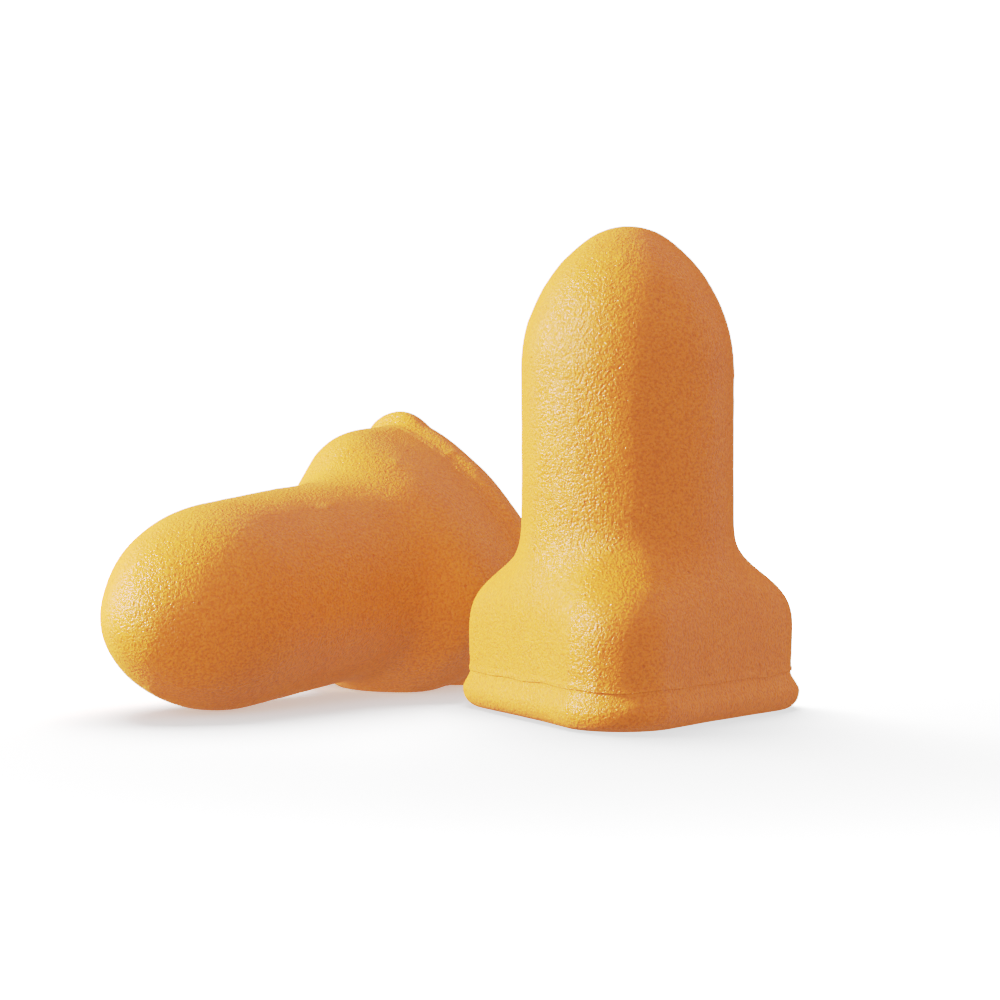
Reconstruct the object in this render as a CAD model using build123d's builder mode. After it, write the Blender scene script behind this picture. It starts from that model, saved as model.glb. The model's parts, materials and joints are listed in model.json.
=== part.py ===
from build123d import *
from math import asin, atan2, copysign, cos, degrees, hypot, radians, sin, sqrt
import os

# A pair of flared foam ear plugs, one standing on its base and one lying on its side.
# Millimetres, +Z up.  The origin is the middle of the standing plug's flat base.

# Driving sizes of one plug
PLUG_LENGTH = 26.4  # base to nose tip
BODY_RADIUS = 5.75  # round body that goes into the ear canal
NOSE_TIP_RADIUS = 3.7  # arc over the very tip
NOSE_SIDE_RADIUS = 8.7  # arc that runs from the tip arc into the body
CORNER_COUNT = 3  # corners of the flare, seen from above
LOBE_REACH = 9.4  # axis to each corner of the flare
SIDE_REACH = 6.6  # axis to the middle of each side of the flare
CORNER_RADIUS = 2.4  # rounding of the corners, seen from above
FLARE_TOP = 10.9  # height where the round body starts to flare
FLARE_SHOULDER = 4.3  # height where the flare reaches its full outline
FLARE_RISE = 2.2  # how slowly the flare leaves the body
FLARE_SETTLE = 2.2  # how slowly it arrives at the full outline
FLARE_STEPS = 5  # sections between the shoulder and the top of the flare
FLARE_LEAST = 0.01  # share of the flare left at its top, so the body's circle fits inside it

# Rolled lip round the base
LIP_HEIGHT = 2.2
LIP_PROUD = 0.35  # how far the lip stands out past the flare
LIP_TOP_ROUND = 0.6
LIP_BASE_ROUND = 0.8

# How the two plugs are laid out on the floor
STANDING_TURN = -95.5  # direction of one corner of the standing plug, degrees from +X
LYING_HEADING = 51.6  # direction from the lying plug's nose to its base, degrees from +X
LYING_ROLL = 13.0  # turn of the lying plug's top corner from straight up, degrees
LYING_BEARING = 121.2  # direction from the origin to the middle of the lying plug's base
LYING_SPACING = 0.5  # free space between the circles that the two flares sweep when turned


def body_top():
    """Height where the round body meets the nose's side arc."""
    tip_centre = PLUG_LENGTH - NOSE_TIP_RADIUS
    between = NOSE_SIDE_RADIUS - NOSE_TIP_RADIUS
    inward = NOSE_SIDE_RADIUS - BODY_RADIUS
    return tip_centre - sqrt(between**2 - inward**2)


def corner_half_angle():
    """Degrees from a corner's middle to the end of its arc, seen from the arc's own centre.

    A side arc passes at SIDE_REACH and touches both its corner arcs, so that end lies on the
    line through the two centres.  A bulging side has its centre beyond the axis, and a
    hollow one has it outside the plug.
    """
    half_pitch = radians(180.0 / CORNER_COUNT)
    centre = LOBE_REACH - CORNER_RADIUS
    level = centre * cos(half_pitch)
    spread = centre**2 + SIDE_REACH**2 - 2.0 * SIDE_REACH * level - CORNER_RADIUS**2
    side_radius = spread / (2.0 * (SIDE_REACH - CORNER_RADIUS - level))
    far = side_radius - SIDE_REACH
    bulge = copysign(1.0, side_radius)
    across = bulge * far * sin(half_pitch)
    along = bulge * (centre + far * cos(half_pitch))
    return degrees(atan2(across, along))


def flare_share(height):
    """Share of the flare at a height: 1 at the shoulder and below, FLARE_LEAST at its top."""
    depth = (FLARE_TOP - height) / (FLARE_TOP - FLARE_SHOULDER)
    depth = min(max(depth, 0.0), 1.0)
    rise = depth**FLARE_RISE
    share = rise / (rise + (1.0 - depth) ** FLARE_SETTLE)
    return max(share, FLARE_LEAST)


def polar(radius, angle):
    """Point at a distance from the axis and an angle in degrees from the section's +X."""
    return Vector(radius * cos(radians(angle)), radius * sin(radians(angle)))


def outline_reaches(share, proud):
    """Distances from the axis of a section's corner tips, arc ends and side middles.

    `share` takes each of them from the body's circle to the flare's full outline, and
    `proud` stands the full outline out.  The last value is the arc ends' angle from a tip.
    """
    end = polar(LOBE_REACH - CORNER_RADIUS, 0.0)
    end += polar(CORNER_RADIUS + proud, corner_half_angle())
    end_angle = degrees(atan2(end.Y, end.X))
    full = (LOBE_REACH + proud, end.length, SIDE_REACH + proud)
    tip, join, side = [BODY_RADIUS + (reach - BODY_RADIUS) * share for reach in full]
    return tip, join, side, end_angle


def lobed_outline(share, proud=0.0):
    """Closed outline of corner arcs and the gently bulging side arcs between them."""
    tip, join, side, end_angle = outline_reaches(share, proud)
    pitch = 360.0 / CORNER_COUNT
    for index in range(CORNER_COUNT):
        angle = index * pitch
        start = polar(join, angle - end_angle)
        finish = polar(join, angle + end_angle)
        following = polar(join, angle + pitch - end_angle)
        ThreePointArc(start, polar(tip, angle), finish)
        ThreePointArc(finish, polar(side, angle + pitch / 2.0), following)


def arc_reach(middle, end, half_angle, turn):
    """How far an arc reaches at `turn` degrees from its middle, or None past its end.

    The arc's middle and both its ends are given by their distances from the axis.
    """
    half_chord = end * sin(radians(half_angle))
    rise = middle - end * cos(radians(half_angle))
    radius = (half_chord**2 + rise**2) / (2.0 * rise)
    if radius < 0.0 or abs(sin(radians(turn))) * radius > half_chord:
        return None
    return (middle - radius) * cos(radians(turn)) + radius


def reach_down(share, proud):
    """How far a section of the lying plug reaches towards the floor, across the axis."""
    tip, join, side, end_angle = outline_reaches(share, proud)
    half_pitch = 180.0 / CORNER_COUNT
    reach = arc_reach(side, join, half_pitch - end_angle, LYING_ROLL)
    if reach is None:
        reach = arc_reach(tip, join, end_angle, half_pitch - abs(LYING_ROLL))
    if reach is None:
        reach = join * cos(radians(half_pitch - abs(LYING_ROLL) - end_angle))
    return reach


def flare_heights():
    """Heights of the flare's sections, from inside the lip up to the round body."""
    spacing = (FLARE_TOP - FLARE_SHOULDER) / (FLARE_STEPS + 1)
    steps = [FLARE_SHOULDER + spacing * step for step in range(FLARE_STEPS + 2)]
    return [LIP_HEIGHT - LIP_TOP_ROUND] + steps


def make_plug(base, label):
    """One moulded foam plug on its base plane, with one corner of the flare along its +X."""
    with BuildPart() as plug:
        # The lip is a slab with the flare's outline, a little larger and rounded over
        with BuildSketch(base):
            with BuildLine():
                lobed_outline(1.0, LIP_PROUD)
            make_face()
        extrude(amount=LIP_HEIGHT)
        levels = plug.faces().sort_by(Axis(base.origin, base.z_dir))
        fillet(levels[0].edges(), LIP_BASE_ROUND)
        levels = plug.faces().sort_by(Axis(base.origin, base.z_dir))
        fillet(levels[-1].edges(), LIP_TOP_ROUND)
        # The flare goes from the lobed outline to the round of the body
        for height in flare_heights():
            with BuildSketch(base.offset(height)):
                with BuildLine():
                    lobed_outline(flare_share(height))
                make_face()
        loft()
        # The body and the nose are turned about the plug's axis
        with BuildSketch(Plane(base.origin, x_dir=base.x_dir, z_dir=-base.y_dir)):
            with BuildLine():
                top = body_top()
                tip_centre = PLUG_LENGTH - NOSE_TIP_RADIUS
                inward = NOSE_SIDE_RADIUS - BODY_RADIUS
                lean = atan2(tip_centre - top, inward)
                join = (NOSE_TIP_RADIUS * cos(lean), tip_centre + NOSE_TIP_RADIUS * sin(lean))
                half = lean / 2.0
                side_middle = (
                    NOSE_SIDE_RADIUS * cos(half) - inward,
                    top + NOSE_SIDE_RADIUS * sin(half),
                )
                upper = (lean + radians(90.0)) / 2.0
                tip_middle = (
                    NOSE_TIP_RADIUS * cos(upper),
                    tip_centre + NOSE_TIP_RADIUS * sin(upper),
                )
                Line((0.0, FLARE_TOP), (BODY_RADIUS, FLARE_TOP))
                Line((BODY_RADIUS, FLARE_TOP), (BODY_RADIUS, top))
                ThreePointArc((BODY_RADIUS, top), side_middle, join)
                ThreePointArc(join, tip_middle, (0.0, PLUG_LENGTH))
                Line((0.0, PLUG_LENGTH), (0.0, FLARE_TOP))
            make_face()
        revolve(axis=Axis(base.origin, base.z_dir))
    plug.part.label = label
    return plug


def standing_base():
    """The floor under the standing plug, with +X towards one of its corners."""
    corner_direction = polar(1.0, STANDING_TURN)
    return Plane((0.0, 0.0, 0.0), x_dir=corner_direction, z_dir=(0.0, 0.0, 1.0))


def floor_contacts():
    """What of the flare can touch the floor, as circles: height, reach to the centre, radius."""
    lip_reach = reach_down(1.0, LIP_PROUD) - LIP_TOP_ROUND
    circles = [(LIP_HEIGHT - LIP_TOP_ROUND, lip_reach, LIP_TOP_ROUND)]
    for height in flare_heights():
        circles.append((height, reach_down(flare_share(height), 0.0), 0.0))
    return circles


def lying_slope():
    """Nose-down slope, in radians, of a plug that rests on its flare and the nose's side arc.

    The floor is the common tangent of the nose's side arc and a circle on the flare.  The
    steepest of these tangents has the whole plug above it.
    """
    slopes = []
    for height, reach, radius in floor_contacts():
        along = body_top() - height
        across = reach + NOSE_SIDE_RADIUS - BODY_RADIUS
        lean = asin((NOSE_SIDE_RADIUS - radius) / hypot(along, across))
        slopes.append(atan2(across, along) - lean)
    return max(slopes)


def lying_base():
    """Base plane of the plug that lies on its side, nose down and towards the front."""
    slope = lying_slope()
    height = body_top() * sin(slope) + NOSE_SIDE_RADIUS
    height -= (NOSE_SIDE_RADIUS - BODY_RADIUS) * cos(slope)
    nose_level = polar(-cos(slope), LYING_HEADING)
    nose_direction = Vector(nose_level.X, nose_level.Y, -sin(slope))
    upright = Vector(0.0, 0.0, 1.0) + nose_direction * sin(slope)
    axis = Axis((0.0, 0.0, 0.0), nose_direction)
    corner_direction = upright.rotate(axis, LYING_ROLL)
    distance = 2.0 * (LOBE_REACH + LIP_PROUD) + LYING_SPACING
    middle = polar(distance, LYING_BEARING)
    print(f"Lying plug slopes {degrees(slope):.7f} degrees")
    print(f"Its base middle is at {middle.X:.6f}, {middle.Y:.6f}, {height:.6f}")
    return Plane((middle.X, middle.Y, height), x_dir=corner_direction, z_dir=nose_direction)


os.makedirs("parts", exist_ok=True)

plug_standing = make_plug(standing_base(), "plug_standing")
export_step(plug_standing.part, "parts/plug_standing.step")

plug_lying = make_plug(lying_base(), "plug_lying")
export_step(plug_lying.part, "parts/plug_lying.step")
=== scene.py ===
import json

import bpy
import numpy as np
from bpy.props import FloatProperty, FloatVectorProperty, PointerProperty
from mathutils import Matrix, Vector


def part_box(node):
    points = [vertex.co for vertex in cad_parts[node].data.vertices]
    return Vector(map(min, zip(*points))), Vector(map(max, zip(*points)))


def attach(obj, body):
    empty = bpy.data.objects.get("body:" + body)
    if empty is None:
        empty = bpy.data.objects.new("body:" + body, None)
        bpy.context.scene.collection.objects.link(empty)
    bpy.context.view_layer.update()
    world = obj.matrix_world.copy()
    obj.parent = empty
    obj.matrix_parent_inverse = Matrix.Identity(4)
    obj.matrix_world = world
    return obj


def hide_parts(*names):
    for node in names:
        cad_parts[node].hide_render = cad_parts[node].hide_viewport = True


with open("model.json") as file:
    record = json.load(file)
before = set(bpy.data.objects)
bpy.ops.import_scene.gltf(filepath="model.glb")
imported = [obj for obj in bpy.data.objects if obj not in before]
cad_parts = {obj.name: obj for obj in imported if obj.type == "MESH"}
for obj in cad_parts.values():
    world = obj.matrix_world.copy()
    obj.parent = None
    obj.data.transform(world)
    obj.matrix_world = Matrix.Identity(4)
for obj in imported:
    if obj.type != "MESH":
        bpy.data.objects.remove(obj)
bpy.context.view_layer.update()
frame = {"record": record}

bl_info = {
    "name": "Foam Ear Plugs",
    "version": (1, 0, 0),
    "blender": (4, 5, 0),
    "location": "3D View > Sidebar > Ear Plugs",
    "description": "Builds a pair of flared foam ear plugs round their CAD frame",
    "category": "Add Mesh",
}

MM = 0.001
CORNERS = 3


# ---------------------------------------------------------------------------
# What the frame says about the two plugs
# ---------------------------------------------------------------------------

def mount(name):
    """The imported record's mount with this name."""
    return next(m for m in frame["record"]["mounts"] if m["name"] == name)


BODY_RADIUS = mount("standing_body")["dims"]["r_mm"] * MM
BODY_MIDDLE = mount("standing_body")["pos_m"][2]
PLUG_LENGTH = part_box("plug_standing")[1].z


def standing_axes():
    """Origin, corner direction and nose direction of the standing plug."""
    turn = np.radians(bpy.context.scene.ear_plug_layout.standing_turn_deg)
    corner = np.array([np.cos(turn), np.sin(turn), 0.0])
    return np.zeros(3), corner, np.array([0.0, 0.0, 1.0])


def lying_axes():
    """Origin, corner direction and nose direction of the plug that lies on its side.

    The nose direction is the axis of its body mount, and its base is the mount's height back
    along that axis.  The corner direction is straight up, squared to the axis and rolled.
    """
    body = mount("lying_body")
    nose = np.array(body["axis"], float)
    nose /= np.linalg.norm(nose)
    base = np.array(body["pos_m"], float) - nose * BODY_MIDDLE
    upright = np.array([0.0, 0.0, 1.0]) - nose * nose[2]
    upright /= np.linalg.norm(upright)
    roll = np.radians(bpy.context.scene.ear_plug_layout.lying_roll_deg)
    corner = upright * np.cos(roll) + np.cross(nose, upright) * np.sin(roll)
    return base, corner, nose


def linear(hex_colour):
    """Linear red, green, blue and alpha of an sRGB hex colour."""
    parts = [int(hex_colour[i:i + 2], 16) / 255.0 for i in (1, 3, 5)]
    return (*[c / 12.92 if c <= 0.04045 else ((c + 0.055) / 1.055) ** 2.4 for c in parts], 1.0)


# ---------------------------------------------------------------------------
# Settings that a user may change
# ---------------------------------------------------------------------------

class EarPlugShape(bpy.types.PropertyGroup):
    """Sizes of one moulded plug that the frame doesn't give."""

    lobe_reach: FloatProperty(
        name="Corner reach", description="Axis to each corner of the flare",
        default=9.85 * MM, unit="LENGTH")
    lying_lobe_reach: FloatProperty(
        name="Lying corner reach", description="The same on the lying plug, whose foam sags",
        default=8.38 * MM, unit="LENGTH")
    lying_floor_reach: FloatProperty(
        name="Lying floor side", description="Side reach where the lying plug's flare rests",
        default=7.6 * MM, unit="LENGTH")
    side_reach: FloatProperty(
        name="Side reach", description="Axis to the middle of each side of the flare",
        default=6.6 * MM, unit="LENGTH")
    corner_radius: FloatProperty(
        name="Corner radius", description="Rounding of the corners, seen from above",
        default=3.2 * MM, unit="LENGTH")
    flare_top: FloatProperty(
        name="Flare top", description="Height where the body starts to flare",
        default=10.9 * MM, unit="LENGTH")
    shoulder: FloatProperty(
        name="Shoulder", description="Height where the flare is full",
        default=4.3 * MM, unit="LENGTH")
    nose_tip_radius: FloatProperty(
        name="Nose tip radius", description="Arc over the very tip",
        default=3.7 * MM, unit="LENGTH")
    nose_side_radius: FloatProperty(
        name="Nose side radius", description="Arc between the tip and the body",
        default=8.7 * MM, unit="LENGTH")
    lip_height: FloatProperty(
        name="Lip height", description="Height of the crease above the base",
        default=2.1 * MM, unit="LENGTH")
    lip_proud: FloatProperty(
        name="Lip", description="How far the lip stands out past the flare",
        default=0.18 * MM, unit="LENGTH")
    corner_lip: FloatProperty(
        name="Front corner lip", description="Extra lip at the standing plug's front corner",
        default=0.02 * MM, unit="LENGTH")
    lying_corner_lip: FloatProperty(
        name="Top corner lip", description="Extra lip at the lying plug's top corner",
        default=0.50 * MM, unit="LENGTH")
    waist: FloatProperty(
        name="Waist", description="How far the flare draws in above the lip",
        default=0.22 * MM, unit="LENGTH")


class EarPlugLayout(bpy.types.PropertyGroup):
    """How the two plugs are turned about their own axes, and how far the lying one stretches."""

    standing_turn_deg: FloatProperty(
        name="Standing turn", description="Direction of a corner of the standing plug, degrees",
        default=-95.5)
    lying_roll_deg: FloatProperty(
        name="Lying roll", description="Turn of the lying plug's top corner, degrees",
        default=17.5)
    lying_stretch: FloatProperty(
        name="Lying stretch", description="Length of the lying plug as a share of the frame's",
        default=1.02)


class EarPlugFoam(bpy.types.PropertyGroup):
    """Colours and grain of the foam."""

    colour: FloatVectorProperty(
        name="Foam", description="Colour of the foam, linear",
        subtype="COLOR", size=3, min=0.0, max=1.0, default=linear("#ea7d26")[:3])
    pebble: FloatProperty(
        name="Pebble", description="Size of the skin's pebbles",
        default=0.25 * MM, unit="LENGTH")
    pebble_depth: FloatProperty(
        name="Pebble depth", description="Depth of the gaps between pebbles",
        default=0.026 * MM, unit="LENGTH")


# ---------------------------------------------------------------------------
# Noise as whole arrays
# ---------------------------------------------------------------------------

def lattice_random(cells, seed):
    """A repeatable number from 0 to 1 for each whole-number cell.

    The three cell numbers are multiplied by large odd numbers, mixed by exclusive-or and
    shifts in 32 bits, and divided by the largest 32-bit number.
    """
    key = cells.astype(np.int64).astype(np.uint32)
    mixed = key[..., 0] * np.uint32(73856093)
    mixed ^= key[..., 1] * np.uint32(19349663)
    mixed ^= key[..., 2] * np.uint32(83492791)
    mixed ^= np.uint32(seed * 2654435761 % 2**32)
    mixed ^= mixed >> np.uint32(15)
    mixed *= np.uint32(2246822519)
    mixed ^= mixed >> np.uint32(13)
    mixed *= np.uint32(3266489917)
    mixed ^= mixed >> np.uint32(16)
    return mixed / np.float64(2**32 - 1)


def smooth_noise(points, size, seed):
    """Soft lumps about `size` across, from -1 to 1.

    A random height at each lattice corner is blended to the point by the cubic 3t^2 - 2t^3
    along each of the three directions.
    """
    scaled = points / size
    cell = np.floor(scaled)
    part = scaled - cell
    part = part * part * (3.0 - 2.0 * part)
    total = np.zeros(points.shape[:-1])
    for corner in np.ndindex(2, 2, 2):
        offset = np.array(corner)
        weight = np.prod(np.where(offset == 1, part, 1.0 - part), axis=-1)
        total += weight * lattice_random(cell + offset, seed)
    return total * 2.0 - 1.0


def pebbles(points, size, seed):
    """Distance to the nearest of one scattered point per cell, in cells: 0 on a pebble's top."""
    scaled = points / size
    cell = np.floor(scaled)
    nearest = np.full(points.shape[:-1], 9.0)
    for corner in np.ndindex(3, 3, 3):
        place = cell + (np.array(corner) - 1)
        jitter = [lattice_random(place, seed + axis) for axis in range(3)]
        gap = place + np.stack(jitter, axis=-1) - scaled
        nearest = np.minimum(nearest, np.einsum("...i,...i", gap, gap))
    return np.sqrt(nearest)


# ---------------------------------------------------------------------------
# The plug's surface
# ---------------------------------------------------------------------------

def lobed_radius(angle, shape, lobe_reach, side_middle, proud):
    """Distance from the axis to the flare's outline at an angle from a corner.

    The outline is corner arcs joined by wide side arcs.  A ray meets a corner arc, centred c
    out with radius r, at c cos(a) + sqrt(r^2 - c^2 sin^2(a)).  It meets a side arc, centred f
    beyond the axis with radius S, at -f cos(b) + sqrt(S^2 - f^2 sin^2(b)), where b is the
    angle from the side's middle.  `side_middle` is the reach at that middle, one value per
    angle, and `proud` adds to both radii.
    """
    half_pitch = np.pi / CORNERS
    centre = lobe_reach - shape.corner_radius
    level = centre * np.cos(half_pitch)
    spread = centre**2 + side_middle**2 - 2.0 * side_middle * level
    spread -= shape.corner_radius**2
    side_radius = spread / (2.0 * (side_middle - shape.corner_radius - level))
    far = side_radius - side_middle
    from_corner = np.abs((angle + half_pitch) % (2.0 * half_pitch) - half_pitch)
    from_side = half_pitch - from_corner
    corner = shape.corner_radius + proud
    side = side_radius + proud
    join = np.arctan2(far * np.sin(half_pitch), centre + far * np.cos(half_pitch))
    end_x = centre + corner * np.cos(join)
    end_y = corner * np.sin(join)
    on_corner = from_corner < np.arctan2(end_y, end_x)
    under = np.maximum(corner**2 - (centre * np.sin(from_corner)) ** 2, 0.0)
    corner_reach = centre * np.cos(from_corner) + np.sqrt(under)
    root = np.sqrt(np.maximum(side**2 - (far * np.sin(from_side)) ** 2, 0.0))
    return np.where(on_corner, corner_reach, root - far * np.cos(from_side))


def smooth_step(value, low, high):
    """0 below `low`, 1 above `high`, and 3t^2 - 2t^3 between."""
    part = np.clip((value - low) / (high - low), 0.0, 1.0)
    return part * part * (3.0 - 2.0 * part)


def flare_share(height, shape):
    """Share of the flare at a height: 0 at the body and 1 at the shoulder and below.

    t runs from the flare's top down to the shoulder, and the share is
    t^2.2 / (t^2.2 + (1 - t)^2.2).
    """
    part = np.clip((shape.flare_top - height) / (shape.flare_top - shape.shoulder), 0.0, 1.0)
    rise = part**2.2
    return rise / (rise + (1.0 - part) ** 2.2)


def body_top(shape):
    """Height where the straight body meets the nose's side arc."""
    between = shape.nose_side_radius - shape.nose_tip_radius
    inward = shape.nose_side_radius - BODY_RADIUS
    return PLUG_LENGTH - shape.nose_tip_radius - np.sqrt(between**2 - inward**2)


def nose_profile(shape, count):
    """Heights and radii along the nose, evenly spaced by arc length over its two arcs."""
    top = body_top(shape)
    tip_centre = PLUG_LENGTH - shape.nose_tip_radius
    inward = shape.nose_side_radius - BODY_RADIUS
    lean = np.arctan2(tip_centre - top, inward)
    side_length = shape.nose_side_radius * lean
    tip_length = shape.nose_tip_radius * (np.pi / 2.0 - lean)
    along = np.linspace(0.0, side_length + tip_length, count)
    side_angle = np.minimum(along, side_length) / shape.nose_side_radius
    tip_angle = lean + np.maximum(along - side_length, 0.0) / shape.nose_tip_radius
    on_side = along <= side_length
    side_height = top + shape.nose_side_radius * np.sin(side_angle)
    side_radius = shape.nose_side_radius * np.cos(side_angle) - inward
    tip_height = tip_centre + shape.nose_tip_radius * np.sin(tip_angle)
    tip_radius = shape.nose_tip_radius * np.cos(tip_angle)
    height = np.where(on_side, side_height, tip_height)
    radius = np.where(on_side, side_radius, tip_radius)
    radius[-1] = 0.0
    return height, radius


# Columns round a plug, and rows up each part of its outline
AROUND = 384
BASE_ROWS = 14
ROUND_ROWS = 12
LIP_ROWS = 16
CREASE_ROWS = 20
FLARE_ROWS = 72
BODY_ROWS = 52
NOSE_ROWS = 74
# Rounding under the lip, and the extra lip at the corners that have none of their own
BASE_ROUND = 1.0 * MM
PLAIN_CORNER_LIP = 0.22 * MM
# How far the lip swells, its crease wanders, and the bead over the crease stands out
LIP_SWELL = 0.10 * MM
CREASE_WANDER = 0.12 * MM
BEAD = 0.06 * MM


def plug_surface(shape, lobe_reach, floor_reach, corner_lip, seed):
    """Points of a plug standing on its base, rows up the outline by columns round the axis.

    Every row is a radius and a height for each column.  The rows run from the middle of the
    base over the lip, the crease, the flare, the straight body and the nose to the tip.  On
    the lip and up to the shoulder the radius is the flare's outline, with small amounts added
    and taken off.  From the shoulder up it is the body's radius plus the flare's share of
    what the outline adds to it.
    """
    angle = np.linspace(0.0, 2.0 * np.pi, AROUND, endpoint=False)
    ring = np.stack([np.cos(angle), np.sin(angle), np.zeros(AROUND)], axis=-1)
    # The side between the second and third corners is the one that a lying plug rests on
    on_floor = np.abs(angle - np.pi) < np.pi / CORNERS
    side_middle = np.where(on_floor, floor_reach, shape.side_reach)
    # The lip swells and sags a little round the plug, and most at its corners
    swell = smooth_noise(ring * 3.0 + 7.0, 1.0, seed) * LIP_SWELL
    crease_shift = smooth_noise(ring * 4.0 + 3.0, 1.0, seed + 5) * CREASE_WANDER
    serration = (smooth_noise(ring * 14.0, 1.0, seed + 6) * 0.5 + 0.6) * BEAD
    at_first = np.cos(angle) > np.cos(np.pi / CORNERS)
    near_corner = smooth_step(np.cos(angle * CORNERS), 0.5, 1.0)
    near_corner *= np.where(at_first, corner_lip, PLAIN_CORNER_LIP)
    lip_reach = lobed_radius(angle, shape, lobe_reach, side_middle, shape.lip_proud)
    lip_reach += swell * 0.6 + near_corner
    flare_reach = lobed_radius(angle, shape, lobe_reach, side_middle, 0.0)
    crease = shape.lip_height + crease_shift
    rows = []

    def add_row(radius, height):
        point = np.empty((AROUND, 3))
        point[:, 0] = radius * np.cos(angle)
        point[:, 1] = radius * np.sin(angle)
        point[:, 2] = height
        rows.append(point)

    for part in np.linspace(0.0, 1.0, BASE_ROWS, endpoint=False):
        add_row((lip_reach - BASE_ROUND) * np.sqrt(part), 0.0)
    for turn in np.linspace(0.0, np.pi / 2.0, ROUND_ROWS):
        add_row(lip_reach - BASE_ROUND * (1.0 - np.sin(turn)), BASE_ROUND * (1.0 - np.cos(turn)))
    # Above its widest line the lip leans in to the crease
    lip_top = flare_reach - 0.10 * MM
    for part in np.linspace(0.0, 1.0, LIP_ROWS + 1)[1:]:
        ease = part * part * (3.0 - 2.0 * part)
        height = BASE_ROUND + (crease - BASE_ROUND) * part
        add_row(lip_reach + (lip_top - lip_reach) * ease, height)
    # From the notch of the crease, a serrated bead and the waist lead up to the shoulder
    for part in np.linspace(0.0, 1.0, CREASE_ROWS + 1)[1:] ** 1.9:
        height = crease + (shape.shoulder - crease) * part
        draw = (shape.waist * 0.45) * (1.0 - part) ** 2 * (1.0 - np.exp(-part * 18.0))
        notch = 0.015 * MM * np.exp(-part * 45.0)
        bead = serration * np.exp(-(((part - 0.075) / 0.045) ** 2))
        add_row(flare_reach - draw - notch + bead, height)
    for height in np.linspace(shape.shoulder, shape.flare_top, FLARE_ROWS + 1)[1:]:
        share = flare_share(height, shape)
        add_row(BODY_RADIUS + (flare_reach - BODY_RADIUS) * share, height)
    top = body_top(shape)
    for height in np.linspace(shape.flare_top, top, BODY_ROWS + 1)[1:]:
        add_row(BODY_RADIUS, height)
    heights, radii = nose_profile(shape, NOSE_ROWS + 1)
    for height, radius in zip(heights[1:], radii[1:]):
        add_row(radius, height)
    return np.array(rows)


def grid_normals(points):
    """Unit normals of the closed rows, from the cross product of the two grid directions."""
    round_step = np.roll(points, -1, axis=1) - np.roll(points, 1, axis=1)
    up_step = np.gradient(points, axis=0)
    normal = np.cross(round_step, up_step)
    length = np.linalg.norm(normal, axis=-1, keepdims=True)
    return normal / np.maximum(length, 1e-12)


# Size and height of the skin's dents, ripples and blisters, and the size of its patches
DENT, DENT_HEIGHT = 3.4 * MM, 0.045
RIPPLE, RIPPLE_HEIGHT = 1.3 * MM, 0.02
BLISTER_PITCH, BLISTER_SHARE, BLISTER_HEIGHT = 2.3 * MM, 0.13, 0.07
PATCH = 4.5 * MM


def skin_relief(points, foam, seed):
    """Height of the foam's skin: soft dents, pebbles with narrow gaps, and a few long blisters.

    The pebbles are stronger in some patches than in others.  A blister is a bell,
    exp(-(d / share)^2), round a scattered point, and is longer along the axis.
    """
    lumps = smooth_noise(points, DENT, seed + 11) * DENT_HEIGHT * MM
    lumps += smooth_noise(points, RIPPLE, seed + 12) * RIPPLE_HEIGHT * MM
    cells = pebbles(points, foam.pebble, seed + 20)
    strength = 0.55 + 0.45 * smooth_noise(points, PATCH, seed + 13)
    grain = (0.45 - np.clip(cells, 0.0, 0.9)) * foam.pebble_depth * strength
    spots = pebbles(points * (1.0, 1.0, 0.6), BLISTER_PITCH, seed + 30)
    return lumps + grain + np.exp(-((spots / BLISTER_SHARE) ** 2)) * BLISTER_HEIGHT * MM


def close_grid(points):
    """Vertices and faces of rows round an axis whose first and last rows are single points.

    Four-sided faces join each row to the next, and triangles join the end rows to the points.
    """
    inner = points[1:-1]
    count = inner.shape[0]
    vertices = np.concatenate([points[:1, 0], inner.reshape(-1, 3), points[-1:, 0]])
    column = np.arange(AROUND)
    beside = (column + 1) % AROUND
    row_start = 1 + np.arange(count - 1)[:, None] * AROUND
    first = row_start + column
    right = row_start + beside
    quads = np.stack([first, right, right + AROUND, first + AROUND], axis=-1).reshape(-1, 4)
    bottom = np.stack([np.zeros(AROUND, int), 1 + beside, 1 + column], axis=-1)
    last = 1 + (count - 1) * AROUND
    tip = np.full(AROUND, len(vertices) - 1)
    top = np.stack([last + column, last + beside, tip], axis=-1)
    return vertices, quads.tolist() + bottom.tolist() + top.tolist()


def make_piece(name, vertices, faces, material):
    """A smooth-shaded mesh object at the origin, with its place in its vertices."""
    mesh = bpy.data.meshes.new(name)
    mesh.from_pydata(vertices, [], faces)
    mesh.validate()
    mesh.polygons.foreach_set("use_smooth", [True] * len(mesh.polygons))
    mesh.materials.append(material)
    mesh.update()
    piece = bpy.data.objects.new(name, mesh)
    bpy.context.scene.collection.objects.link(piece)
    return piece


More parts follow.
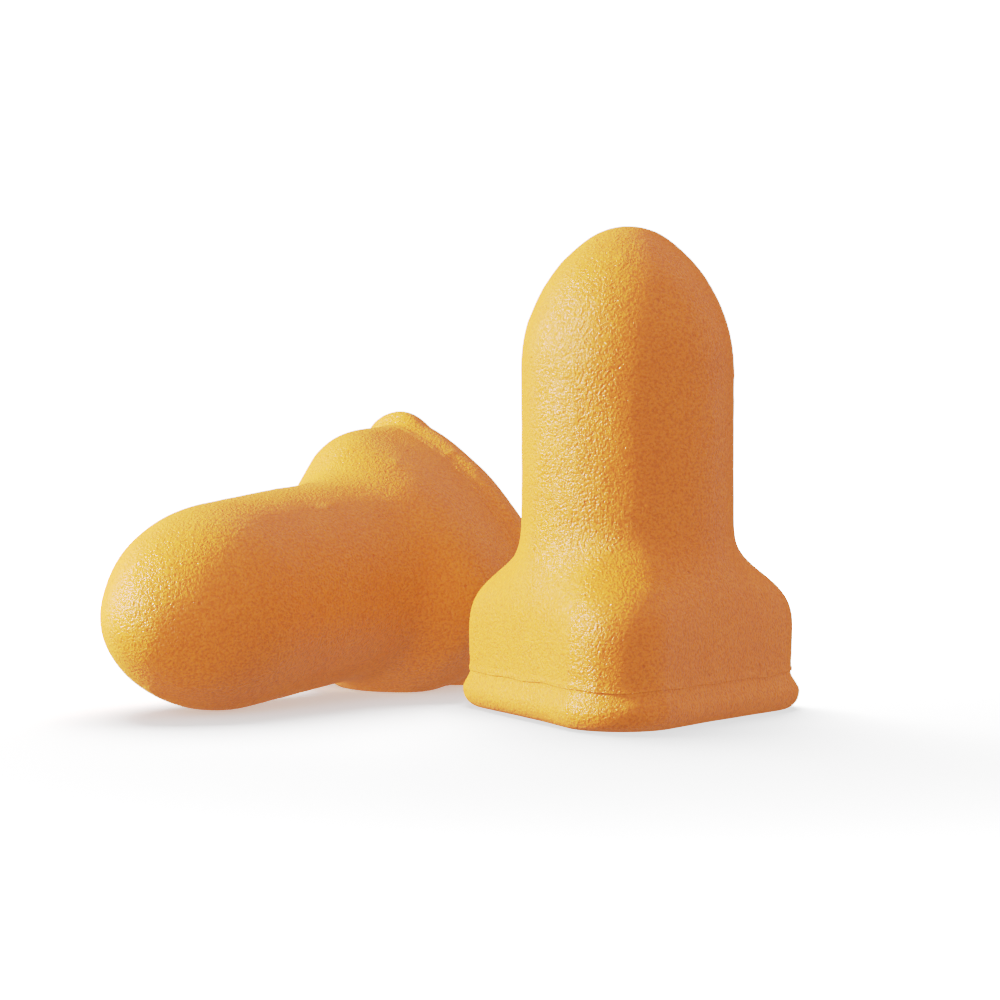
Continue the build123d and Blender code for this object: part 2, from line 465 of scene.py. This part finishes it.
def build_plug(name, axes, outline, stretch, seed, material):
    """One plug: its surface with the skin's relief, carried to its origin and axes.

    `outline` holds the corner reach, the reach of the side on the floor and the extra lip at
    the first corner.  The relief fades out towards the flat base.
    """
    shape = bpy.context.scene.ear_plug_shape
    foam = bpy.context.scene.ear_plug_foam
    points = plug_surface(shape, *outline, seed)
    normals = grid_normals(points)
    normals[0] = (0.0, 0.0, -1.0)
    normals[-1] = (0.0, 0.0, 1.0)
    relief = skin_relief(points, foam, seed)
    relief *= smooth_step(points[..., 2], 0.02 * MM, 0.7 * MM)
    relief[-1] = relief[-1].mean()
    points = (points + normals * relief[..., None]) * (1.0, 1.0, stretch)
    base, corner, nose = axes
    across = np.cross(nose, corner)
    placed = base + points[..., :1] * corner + points[..., 1:2] * across + points[..., 2:] * nose
    # Soft foam is pressed flat where it meets the floor
    placed[..., 2] = np.maximum(placed[..., 2], 0.0)
    vertices, faces = close_grid(placed)
    return make_piece(name, vertices, faces, material)


# ---------------------------------------------------------------------------
# Materials
# ---------------------------------------------------------------------------

def add_node(tree, kind, settings=None, links=None):
    """A node of this kind, with settings for properties or sockets and links into sockets."""
    node = tree.nodes.new(kind)
    for key, value in (settings or {}).items():
        if isinstance(key, str) and hasattr(node, key):
            setattr(node, key, value)
        else:
            node.inputs[key].default_value = value
    for key, socket in (links or {}).items():
        tree.links.new(socket, node.inputs[key])
    return node


def slow_recovery_foam(name, foam):
    """Slow-recovery polyurethane foam, moulded with its own thin skin.

    The skin is finely pebbled, so its slight gloss breaks up into small glints.  It has open
    pores here and there, and light that enters it comes out again warmer close by.
    """
    material = bpy.data.materials.new(name)
    material.use_nodes = True
    tree = material.node_tree
    tree.nodes.clear()
    place = add_node(tree, "ShaderNodeTexCoord").outputs["Object"]
    # Grain about 0.15 mm across, which is coarser than the real cells so that it shows, and
    # pores of 0.1 to 0.2 mm scattered about 1.5 mm apart
    grain = add_node(tree, "ShaderNodeTexNoise", {"Scale": 1.0 / (0.15 * MM), "Detail": 2.0,
                     "Roughness": 0.6}, {"Vector": place})
    pore = add_node(tree, "ShaderNodeTexVoronoi", {"feature": "F1", "Scale": 1.0 / (1.5 * MM)},
                    {"Vector": place})
    pit = add_node(tree, "ShaderNodeMapRange", {"From Min": 0.03, "From Max": 0.08,
                   "To Min": 0.0, "To Max": 1.0}, {"Value": pore.outputs["Distance"]})
    # The colour drifts a little over 2.6 mm, and is darker in the grain's gaps and the pores:
    # painted shade in these hollows
    mottle = add_node(tree, "ShaderNodeTexNoise", {"Scale": 1.0 / (2.6 * MM), "Detail": 2.0},
                      {"Vector": place})
    base = (*foam.colour, 1.0)
    pale = (min(foam.colour[0] * 1.03, 1.0), foam.colour[1] * 1.08, foam.colour[2] * 1.1, 1.0)
    # A darker, redder copy of the foam: painted shade for the grain's gaps and the pores
    hollow_shade_colour = (foam.colour[0] * 0.72, foam.colour[1] * 0.62, foam.colour[2] * 0.6, 1.0)
    spread = add_node(tree, "ShaderNodeMapRange", {"From Min": 0.35, "From Max": 0.65},
                      {"Value": mottle.outputs["Fac"]})
    tone = add_node(tree, "ShaderNodeMix", {"data_type": "RGBA", 6: base, 7: pale},
                    {0: spread.outputs["Result"]})
    # Painted shade: the grain's gaps, its low places in the bump, are darkened
    gap_shade_share = add_node(tree, "ShaderNodeMapRange", {"From Min": 0.37, "From Max": 0.58},
                     {"Value": grain.outputs["Fac"]})
    gap_shaded = add_node(tree, "ShaderNodeMix", {"data_type": "RGBA", 6: hollow_shade_colour},
                     {0: gap_shade_share.outputs["Result"], 7: tone.outputs[2]})
    # Seven tenths of the painted shade in the gaps is kept
    soft = add_node(tree, "ShaderNodeMix", {"data_type": "RGBA", 0: 0.7},
                    {6: tone.outputs[2], 7: gap_shaded.outputs[2]})
    # Painted shade: the pores' dents are darkened
    pore_shaded = add_node(tree, "ShaderNodeMix", {"data_type": "RGBA", 6: hollow_shade_colour},
                     {0: pit.outputs["Result"], 7: soft.outputs[2]})
    grain_bump = add_node(tree, "ShaderNodeBump", {"Strength": 0.9, "Distance": 0.12 * MM},
                          {"Height": grain.outputs["Fac"]})
    pore_bump = add_node(tree, "ShaderNodeBump", {"Strength": 0.6, "Distance": 0.06 * MM}, {
        "Height": pit.outputs["Result"], "Normal": grain_bump.outputs["Normal"]})
    # Seen along the surface the grain hides the gloss, so the skin never looks glazed
    facing = add_node(tree, "ShaderNodeLayerWeight", {"Blend": 0.5})
    dulling = add_node(tree, "ShaderNodeMapRange", {"From Min": 0.4, "From Max": 0.75,
                       "To Min": 0.25, "To Max": 0.75}, {"Value": facing.outputs["Facing"]})
    skin = add_node(tree, "ShaderNodeBsdfPrincipled", {
        "IOR": 1.45, "Specular IOR Level": 0.33,
        "Subsurface Weight": 0.1, "Subsurface Radius": (1.0, 0.35, 0.1),
        "Subsurface Scale": 0.6 * MM,
    }, {"Base Color": pore_shaded.outputs[2], "Roughness": dulling.outputs["Result"],
        "Normal": pore_bump.outputs["Normal"]})
    add_node(tree, "ShaderNodeOutputMaterial", None, {"Surface": skin.outputs["BSDF"]})
    return material


def seamless_paper():
    """White seamless paper with a painted glow, so that it shows as pure white; the glow is
    weakest close to the plugs, which paints a faint shade round them.
    """
    material = bpy.data.materials.new("white_seamless_paper")
    material.use_nodes = True
    tree = material.node_tree
    tree.nodes.clear()
    place = add_node(tree, "ShaderNodeTexCoord").outputs["Object"]
    away = add_node(tree, "ShaderNodeVectorMath", {"operation": "LENGTH"}, {0: place})
    # The painted glow takes over where the overhead light falls off; it is weakest close to the
    # plugs, which paints a faint shade round them
    glow = add_node(tree, "ShaderNodeMapRange", {"interpolation_type": "SMOOTHSTEP",
                    "From Min": 0.025, "From Max": 0.09, "To Min": 0.4, "To Max": 5.0},
                    {"Value": away.outputs["Value"]})
    front = add_node(tree, "ShaderNodeBsdfDiffuse", {"Color": linear("#f4f4f4")})
    # The paper's own glow: painted light, not a lamp
    back = add_node(tree, "ShaderNodeEmission", None, {"Strength": glow.outputs["Result"]})
    paper = add_node(tree, "ShaderNodeAddShader", None,
                     {0: front.outputs["BSDF"], 1: back.outputs["Emission"]})
    add_node(tree, "ShaderNodeOutputMaterial", None, {"Surface": paper.outputs["Shader"]})
    return material


# ---------------------------------------------------------------------------
# Operators
# ---------------------------------------------------------------------------

class EARPLUGS_OT_standing(bpy.types.Operator):
    """Build the plug that stands on its base"""

    bl_idname = "earplugs.standing"
    bl_label = "Standing plug"

    def execute(self, context):
        foam = slow_recovery_foam("slow_recovery_foam_standing", context.scene.ear_plug_foam)
        shape = context.scene.ear_plug_shape
        outline = (shape.lobe_reach, shape.side_reach, shape.corner_lip)
        piece = build_plug("foam_plug_standing", standing_axes(), outline, 1.0, 31, foam)
        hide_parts("plug_standing")
        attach(piece, "standing_plug")
        return {"FINISHED"}


class EARPLUGS_OT_lying(bpy.types.Operator):
    """Build the plug that lies on its side"""

    bl_idname = "earplugs.lying"
    bl_label = "Lying plug"

    def execute(self, context):
        foam = slow_recovery_foam("slow_recovery_foam_lying", context.scene.ear_plug_foam)
        shape = context.scene.ear_plug_shape
        outline = (shape.lying_lobe_reach, shape.lying_floor_reach, shape.lying_corner_lip)
        stretch = context.scene.ear_plug_layout.lying_stretch
        piece = build_plug("foam_plug_lying", lying_axes(), outline, stretch, 67, foam)
        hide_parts("plug_lying")
        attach(piece, "lying_plug")
        return {"FINISHED"}


# ---------------------------------------------------------------------------
# Stage, in metres
# ---------------------------------------------------------------------------

PAIR_MIDDLE = (-0.006, 0.0, 0.011)
LYING_NOSE = (-0.026, -0.006, 0.006)
KEY_PLACE = (-0.287, -0.018, 0.117)
CAMERA_PLACE = (-0.0069, -0.159, 0.0171)
CAMERA_TARGET = (-0.0069, 0.0, 0.0116)
SWEEP_START = 0.9
SWEEP_RADIUS = 0.3
SWEEP_HALF = 1.6
# The paper lies this far under the plugs, so that their flat undersides don't flicker
PAPER_GAP = 0.02 * MM
# The brightness that shows as white, and what some brightnesses below it show as
TONE_WHITE = 5.4
TONE_POINTS = ((0.25, 0.25), (0.5, 0.48), (0.8, 0.61), (1.5, 0.73), (3.0, 0.85), (4.3, 0.93))


def soft_box(name, place, target, size, power, lit, shading):
    """A square area light, turned to face a target.

    It lights only the `lit` objects, and only the `shading` objects cast its shadows.
    """
    lamp = bpy.data.lights.new(name, "AREA")
    lamp.size = size
    lamp.energy = power
    light = bpy.data.objects.new(name, lamp)
    bpy.context.scene.collection.objects.link(light)
    light.location = place
    aim = Vector(target) - Vector(place)
    light.rotation_euler = aim.to_track_quat("-Z", "Y").to_euler()
    for role, pieces in (("receiver", lit), ("blocker", shading)):
        linked = bpy.data.collections.new(name + "_" + role)
        for piece in pieces:
            linked.objects.link(piece)
        setattr(light.light_linking, role + "_collection", linked)


def sky_fill(world):
    """Soft light from all round, brighter from above than from below."""
    world.use_nodes = True
    tree = world.node_tree
    tree.nodes.clear()
    direction = add_node(tree, "ShaderNodeTexCoord").outputs["Generated"]
    parts = add_node(tree, "ShaderNodeSeparateXYZ", None, {"Vector": direction})
    height = add_node(tree, "ShaderNodeMapRange", {"From Min": -1.0, "From Max": 1.0,
                      "To Min": 0.7, "To Max": 1.45}, {"Value": parts.outputs["Z"]})
    fill = add_node(tree, "ShaderNodeBackground", None, {"Strength": height.outputs["Result"]})
    add_node(tree, "ShaderNodeOutputWorld", None, {"Surface": fill.outputs["Background"]})


def set_tone(scene):
    """Standard colours with a film-like shoulder: bright parts roll off towards white."""
    view = scene.view_settings
    view.view_transform = "Standard"
    view.look = "None"
    view.use_curve_mapping = True
    tone = view.curve_mapping
    tone.white_level = (TONE_WHITE, TONE_WHITE, TONE_WHITE)
    curve = tone.curves[3]
    curve.points[0].location = (0.0, 0.0)
    curve.points[-1].location = (1.0, 1.0)
    for bright, shown in TONE_POINTS:
        curve.points.new(bright / TONE_WHITE, shown)
    tone.update()


def paper_sweep():
    """White paper: flat under the plugs, then a quarter circle up to a wall behind them."""
    flat = [(y, 0.0) for y in np.linspace(-0.6, SWEEP_START, 16)]
    bend = [(SWEEP_START + SWEEP_RADIUS * np.sin(turn), SWEEP_RADIUS * (1.0 - np.cos(turn)))
            for turn in np.linspace(0.0, np.pi / 2.0, 13)[1:]]
    wall = [(SWEEP_START + SWEEP_RADIUS, SWEEP_RADIUS + rise)
            for rise in np.linspace(0.0, 1.2, 7)[1:]]
    rows = flat + bend + wall
    vertices = [(x, y, z - PAPER_GAP) for y, z in rows for x in (-SWEEP_HALF, SWEEP_HALF)]
    faces = [(2 * i, 2 * i + 1, 2 * i + 3, 2 * i + 2) for i in range(len(rows) - 1)]
    floor = make_piece("paper_sweep", vertices, faces, seamless_paper())
    # Its glow would wash out the plugs' undersides
    floor.visible_diffuse = False
    floor.visible_glossy = False
    return floor


def studio_lights(floor):
    """A key light from the left with a small bright centre, and separate light on the paper."""
    standing = bpy.data.objects["foam_plug_standing"]
    lying = bpy.data.objects["foam_plug_lying"]
    plugs = [standing, lying]
    # Light from the bright standing plug would turn the lying one red
    standing.visible_diffuse = False
    soft_box("key_softbox", KEY_PLACE, PAIR_MIDDLE, 0.10, 0.85, plugs, [standing])
    soft_box("key_hot_centre", KEY_PLACE, PAIR_MIDDLE, 0.022, 2.3, plugs, [standing])
    soft_box("nose_softbox", (-0.24, -0.15, 0.02), LYING_NOSE, 0.10, 0.45, [lying], [standing])
    soft_box("paper_softbox", (-0.03, 0.12, 0.18), PAIR_MIDDLE, 0.18, 3.15, [floor], plugs)


def studio_camera(scene):
    """A long lens, a little above the middle of the plugs and looking slightly down."""
    lens = bpy.data.cameras.new("camera")
    lens.sensor_width = 36.0
    lens.lens = 105.6
    lens.clip_start = 0.005
    camera = bpy.data.objects.new("camera", lens)
    scene.collection.objects.link(camera)
    camera.location = CAMERA_PLACE
    aim = Vector(CAMERA_TARGET) - camera.location
    camera.rotation_euler = aim.to_track_quat("-Z", "Y").to_euler()
    scene.camera = camera


class EARPLUGS_OT_stage(bpy.types.Operator):
    """Build the floor, the lights and the camera"""

    bl_idname = "earplugs.stage"
    bl_label = "Stage"

    def execute(self, context):
        scene = context.scene
        studio_lights(paper_sweep())
        scene.world = bpy.data.worlds.new("studio")
        sky_fill(scene.world)
        studio_camera(scene)
        set_tone(scene)
        return {"FINISHED"}


class EARPLUGS_PT_panel(bpy.types.Panel):
    """Lists the plugs' settings and operators"""

    bl_label = "Foam Ear Plugs"
    bl_idname = "EARPLUGS_PT_panel"
    bl_space_type = "VIEW_3D"
    bl_region_type = "UI"
    bl_category = "Ear Plugs"

    def draw(self, context):
        layout = self.layout
        scene = context.scene
        for group in (scene.ear_plug_shape, scene.ear_plug_layout, scene.ear_plug_foam):
            box = layout.box()
            for key in group.__annotations__:
                box.prop(group, key)
        for operator in OPERATORS:
            layout.operator(operator.bl_idname)


OPERATORS = (EARPLUGS_OT_standing, EARPLUGS_OT_lying, EARPLUGS_OT_stage)
GROUPS = {
    "ear_plug_shape": EarPlugShape,
    "ear_plug_layout": EarPlugLayout,
    "ear_plug_foam": EarPlugFoam,
}


def register():
    """Registers the settings, the operators and the panel."""
    for name, group in GROUPS.items():
        bpy.utils.register_class(group)
        setattr(bpy.types.Scene, name, PointerProperty(type=group))
    for operator in OPERATORS:
        bpy.utils.register_class(operator)
    bpy.utils.register_class(EARPLUGS_PT_panel)


def unregister():
    """Removes everything that register added."""
    bpy.utils.unregister_class(EARPLUGS_PT_panel)
    for operator in reversed(OPERATORS):
        bpy.utils.unregister_class(operator)
    for name, group in reversed(GROUPS.items()):
        delattr(bpy.types.Scene, name)
        bpy.utils.unregister_class(group)


def main():
    """Registers the add-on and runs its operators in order."""
    register()
    for operator in OPERATORS:
        family, action = operator.bl_idname.split(".")
        getattr(getattr(bpy.ops, family), action)()


if __name__ == "__main__":
    main()
